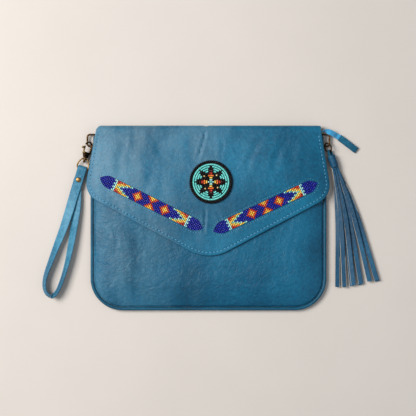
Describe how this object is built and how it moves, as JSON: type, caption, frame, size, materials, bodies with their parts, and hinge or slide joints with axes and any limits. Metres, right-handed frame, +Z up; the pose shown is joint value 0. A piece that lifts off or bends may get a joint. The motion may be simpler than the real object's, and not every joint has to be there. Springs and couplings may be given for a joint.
{
  "type": "beaded crossbody bag",
  "caption": "Flat leather pouch with a beaded envelope flap, zip mouth, piped edge, side rings, a clip-on wrist strap and a fringed tassel, for small things carried by hand.",
  "frame": {"origin": "on the table under the middle of the back panel, the face the bag lies on", "axes": "+X to the right in the picture, along the flap's fold; +Y from the rounded bottom to the folded top; +Z up, out of the front of the bag as it lies on its back"},
  "size_m": [0.3969, 0.219, 0.021],
  "materials": {
    "blue_leather": "fine-grained teal-blue leather, sewn with lighter blue thread",
    "shaded_leather": "the same leather, wrapped round the piping cord",
    "lining_cloth": "woven lining cloth",
    "zip_cloth": "bright blue woven zip tape",
    "zip_teeth": "moulded blue zip teeth",
    "antique_brass": "antique brass, dark in the hollows",
    "bright_brass": "bright polished brass",
    "turquoise_beads": "opaque glossy turquoise glass seed beads",
    "cobalt_beads": "cobalt glass seed beads",
    "black_beads": "brown-black glass seed beads",
    "red_beads": "opaque red glass seed beads",
    "orange_beads": "opaque orange glass seed beads",
    "yellow_beads": "opaque yellow glass seed beads",
    "white_beads": "opaque mint-white glass seed beads"
  },
  "bodies": {
    "bag": {"back_lining": "lining_cloth", "back_panel": "blue_leather", "flap_fold": "blue_leather", "front_lining": "lining_cloth", "front_panel": "blue_leather", "left_ring_tab": "blue_leather", "piping": "shaded_leather", "right_ring_tab": "blue_leather", "zip_bottom_stop": "antique_brass", "zip_end_tab": "blue_leather", "zip_tail": "zip_cloth", "zip_tape_back": "zip_cloth", "zip_tape_front": "zip_cloth", "zip_teeth_back": "zip_teeth", "zip_teeth_front": "zip_teeth"},
    "flap": {"flap": "blue_leather", "flap_lining": "lining_cloth", "medallion_backing": "black_beads", "medallion_field": "turquoise_beads", "medallion_border": "black_beads", "star_black": "black_beads", "star_red": "red_beads", "star_orange": "orange_beads", "star_yellow": "yellow_beads", "star_middle": "white_beads", "band_left_field": "cobalt_beads", "band_right_field": "cobalt_beads", "band_left_hourglass": "orange_beads", "band_left_inner_bar": "white_beads", "band_left_inner_chevron": "orange_beads", "band_left_inner_core": "yellow_beads", "band_left_inner_diamond": "red_beads", "band_left_outer_bar": "white_beads", "band_left_outer_chevron": "orange_beads", "band_left_outer_core": "yellow_beads", "band_left_outer_diamond": "red_beads", "band_right_hourglass": "orange_beads", "band_right_inner_bar": "white_beads", "band_right_inner_chevron": "orange_beads", "band_right_inner_core": "yellow_beads", "band_right_inner_diamond": "red_beads", "band_right_outer_bar": "white_beads", "band_right_outer_chevron": "orange_beads", "band_right_outer_core": "yellow_beads", "band_right_outer_diamond": "red_beads"},
    "zip_slider": {"zip_slider": "antique_brass"},
    "zip_pull": {"zip_pull": "antique_brass"},
    "left_ring": {"left_side_ring": "antique_brass"},
    "right_ring": {"right_side_ring": "antique_brass"},
    "clasp": {"clasp_hook": "antique_brass"},
    "gate": {"clasp_gate": "bright_brass"},
    "loop": {"clasp_loop": "antique_brass"},
    "wristlet": {"wrist_strap": "blue_leather", "strap_rivet": "bright_brass"},
    "link": {"tassel_link": "antique_brass"},
    "tassel": {"tassel_thong": "blue_leather", "tassel_cap": "blue_leather", "tassel_fringe": "blue_leather"}
  },
  "joints": [
    {"name": "flap_open", "type": "hinge", "parent": "bag", "child": "flap", "pos_m": [0, 0.103, 0.0065], "axis": [-1, 0, 0], "range_deg": [0, 170], "deforming": ["flap_fold"]},
    {"name": "zip_run", "type": "slide", "parent": "bag", "child": "zip_slider", "axis": [-1, 0, 0], "range_m": [0, 0.215], "deforming": ["zip_teeth_front", "zip_teeth_back"]},
    {"name": "zip_pull_swing", "type": "hinge", "parent": "zip_slider", "child": "zip_pull", "pos_m": [0.113, 0.10455, 0.0052], "axis": [0, 0, -1], "range_deg": [0, 180]},
    {"name": "left_ring_swing", "type": "hinge", "parent": "bag", "child": "left_ring", "pos_m": [-0.1346, 0.092, 0.0042], "axis": [0, 1, 0], "range_deg": [-75, 22]},
    {"name": "right_ring_swing", "type": "hinge", "parent": "bag", "child": "right_ring", "pos_m": [0.1346, 0.092, 0.0042], "axis": [0, -1, 0], "range_deg": [-50, 7]},
    {"name": "clasp_swing", "type": "hinge", "parent": "left_ring", "child": "clasp", "pos_m": [-0.14, 0.0878, 0.0048], "axis": [0, 0, 1], "range_deg": [-55, 5]},
    {"name": "gate_press", "type": "hinge", "parent": "clasp", "child": "gate", "pos_m": [-0.14773, 0.07754, 0.00921], "axis": [0.7382, -0.2047, 0.6428], "range_deg": [-30, 0], "stiffness_Nm_per_rad": 0.01},
    {"name": "loop_swivel", "type": "hinge", "parent": "clasp", "child": "loop", "pos_m": [-0.14615, 0.07118, 0.00538], "axis": [-0.2672, -0.9636, 0], "continuous": true},
    {"name": "wristlet_swing", "type": "hinge", "parent": "loop", "child": "wristlet", "pos_m": [-0.14963, 0.05866, 0.00538], "axis": [0.9636, -0.2672, 0], "range_deg": [-150, 125]},
    {"name": "link_swing", "type": "hinge", "parent": "right_ring", "child": "link", "pos_m": [0.14, 0.0878, 0.0044], "axis": [0, 0, 1], "range_deg": [-5, 45]},
    {"name": "tassel_swing", "type": "hinge", "parent": "link", "child": "tassel", "pos_m": [0.14382, 0.07824, 0.0044], "axis": [-0.6645, -0.2418, -0.7071], "range_deg": [-100, 11]}
  ]
}
